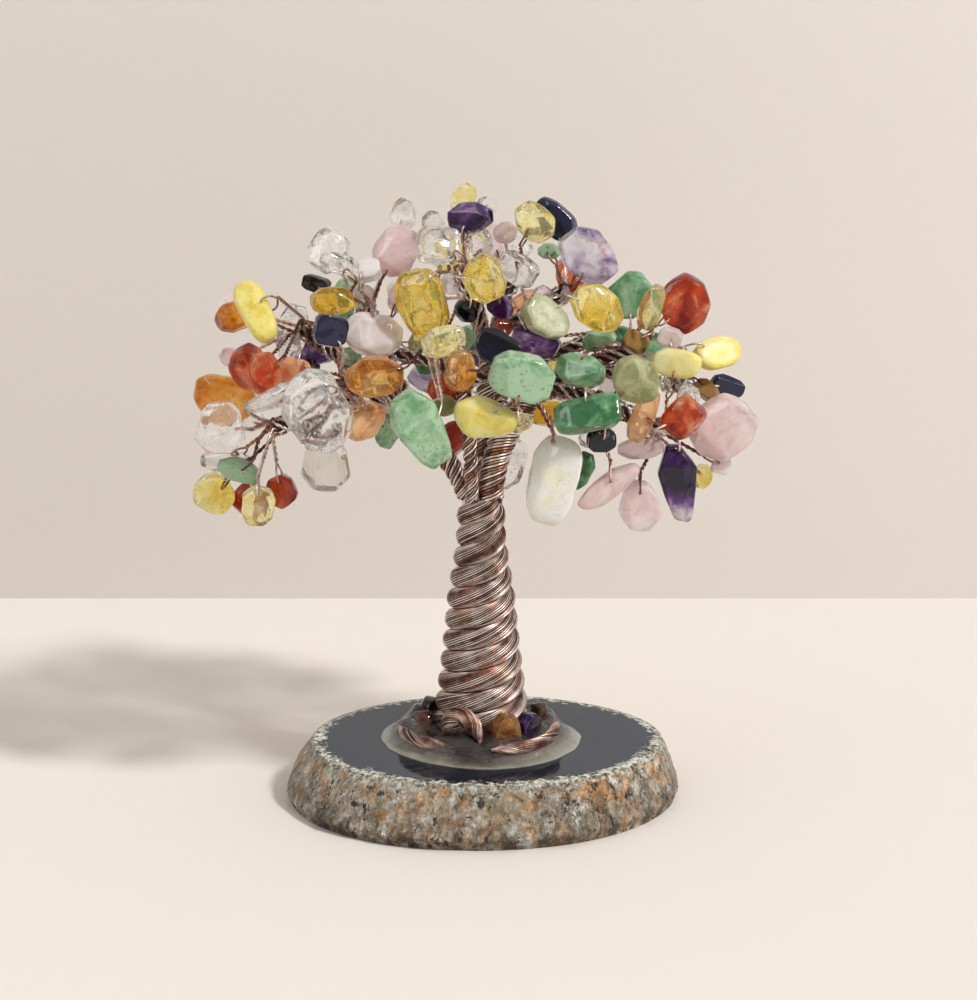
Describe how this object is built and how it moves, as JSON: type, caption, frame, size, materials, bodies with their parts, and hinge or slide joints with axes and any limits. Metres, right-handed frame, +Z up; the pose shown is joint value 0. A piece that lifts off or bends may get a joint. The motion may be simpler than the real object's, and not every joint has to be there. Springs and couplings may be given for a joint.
{
  "type": "gemstone tree ornament",
  "caption": "Wire tree ornament with a twisted copper trunk, drilled gem chips as leaves, and a polished stone slice as its base.",
  "frame": {"origin": "middle of the stone slice's flat underside, under the trunk's axis", "axes": "+Z up along the trunk, +X to the right seen from the front, -Y to the front"},
  "size_m": [0.1031, 0.0732, 0.1109],
  "materials": {
    "copper": "brown lacquered copper wire",
    "stone": "rough rind with a polished dark face",
    "resin": "clear set resin",
    "citrine": "tumbled",
    "amber": "tumbled",
    "carnelian": "tumbled",
    "rose_quartz": "tumbled",
    "clear_quartz": "tumbled",
    "smoky_quartz": "tumbled",
    "aventurine": "tumbled",
    "prehnite": "tumbled",
    "amethyst": "tumbled",
    "onyx": "tumbled",
    "yellow_jade": "tumbled",
    "tiger_eye": "tumbled"
  },
  "bodies": {
    "tree": {"amber_chips_left": "amber", "amber_chips_middle": "amber", "amethyst_chips_back": "amethyst", "amethyst_chips_middle": "amethyst", "aventurine_chips_back": "aventurine", "aventurine_chips_left": "aventurine", "aventurine_chips_middle": "aventurine", "aventurine_chips_right": "aventurine", "base_slab": "stone", "carnelian_chips_back": "carnelian", "carnelian_chips_left": "carnelian", "carnelian_chips_middle": "carnelian", "carnelian_chips_right": "carnelian", "citrine_chips_back": "citrine", "citrine_chips_left": "citrine", "citrine_chips_middle": "citrine", "citrine_chips_right": "citrine", "clear_quartz_chips_back": "clear_quartz", "clear_quartz_chips_left": "clear_quartz", "clear_quartz_chips_middle": "clear_quartz", "clear_quartz_chips_right": "clear_quartz", "foot_amber_stones": "amber", "foot_amethyst_stones": "amethyst", "limb_back": "copper", "limb_front": "copper", "limb_left": "copper", "limb_right": "copper", "limb_top": "copper", "onyx_chips_left": "onyx", "onyx_chips_middle": "onyx", "onyx_chips_right": "onyx", "prehnite_chips_middle": "prehnite", "prehnite_chips_right": "prehnite", "resin_pool": "resin", "root_curl": "copper", "root_left": "copper", "root_right": "copper", "rose_quartz_chips_back": "rose_quartz", "rose_quartz_chips_left": "rose_quartz", "rose_quartz_chips_middle": "rose_quartz", "rose_quartz_chips_right": "rose_quartz", "tiger_eye_chips_right": "tiger_eye", "trunk_bundle_first": "copper", "trunk_bundle_second": "copper", "trunk_core": "copper", "twigs_back": "copper", "twigs_left": "copper", "twigs_middle": "copper", "twigs_right": "copper", "yellow_jade_chips_left": "yellow_jade", "yellow_jade_chips_middle": "yellow_jade", "yellow_jade_chips_right": "yellow_jade"},
    "citrine_drop": {"citrine_drop": "citrine"},
    "smoky_quartz_drop": {"smoky_quartz_drop": "smoky_quartz"},
    "pale_jade_drop": {"pale_jade_drop": "yellow_jade"},
    "rose_quartz_shard": {"rose_quartz_shard": "rose_quartz"},
    "amethyst_point": {"amethyst_point": "amethyst"},
    "rose_quartz_drop": {"rose_quartz_drop": "rose_quartz"}
  },
  "joints": [
    {"name": "citrine_drop_swing", "type": "hinge", "parent": "tree", "child": "citrine_drop", "pos_m": [-0.03941, -0.01069, 0.0601], "axis": [0, 1, 0], "range_deg": [-12, 12]},
    {"name": "smoky_quartz_drop_swing", "type": "hinge", "parent": "tree", "child": "smoky_quartz_drop", "pos_m": [-0.02805, 0.00278, 0.06533], "axis": [0, 1, 0], "range_deg": [-12, 12]},
    {"name": "pale_jade_drop_swing", "type": "hinge", "parent": "tree", "child": "pale_jade_drop", "pos_m": [0.01261, -0.01531, 0.07126], "axis": [0, 1, 0], "range_deg": [-12, 12]},
    {"name": "rose_quartz_shard_swing", "type": "hinge", "parent": "tree", "child": "rose_quartz_shard", "pos_m": [0.02292, -0.00954, 0.06248], "axis": [0, 1, 0], "range_deg": [-12, 12]},
    {"name": "amethyst_point_swing", "type": "hinge", "parent": "tree", "child": "amethyst_point", "pos_m": [0.03544, -0.00121, 0.06587], "axis": [0, 1, 0], "range_deg": [-12, 12]},
    {"name": "rose_quartz_drop_swing", "type": "hinge", "parent": "tree", "child": "rose_quartz_drop", "pos_m": [0.02832, -0.00602, 0.05949], "axis": [0, 1, 0], "range_deg": [-12, 12]}
  ]
}
